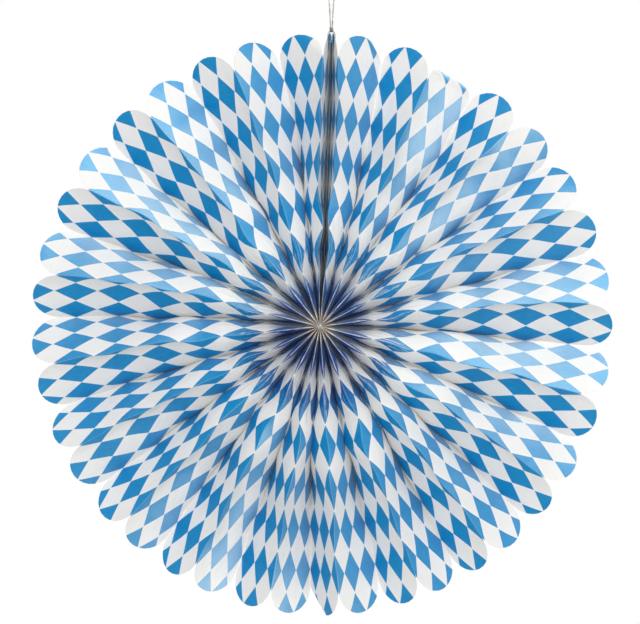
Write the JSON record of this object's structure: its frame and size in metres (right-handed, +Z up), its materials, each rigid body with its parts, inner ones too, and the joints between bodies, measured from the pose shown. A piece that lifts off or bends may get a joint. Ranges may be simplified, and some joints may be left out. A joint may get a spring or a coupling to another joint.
{
  "type": "paper fan rosette",
  "caption": "Round hanging decoration pleated from one long strip of printed paper into a full circle of rounded petals, with a thread loop at the top.",
  "frame": {"origin": "hub centre, halfway between the front and back folds, at the centre of the rosette's box", "axes": "+Z up towards the hanging loop, -Y towards the viewer (front), +X to the viewer's right"},
  "size_m": [0.448, 0.0502, 0.491],
  "materials": {
    "printed_paper": "semi-gloss, blue and white lozenge print",
    "clear_tape": "translucent adhesive",
    "white_thread": "sewing thread",
    "grey_twine": "twisted twine"
  },
  "bodies": {
    "root": {"pleated_paper": "printed_paper", "seam_tape": "clear_tape", "hub_tie": "white_thread", "hanging_thread": "grey_twine", "thread_eye": "grey_twine", "thread_knot": "grey_twine"}
  },
  "joints": []
}
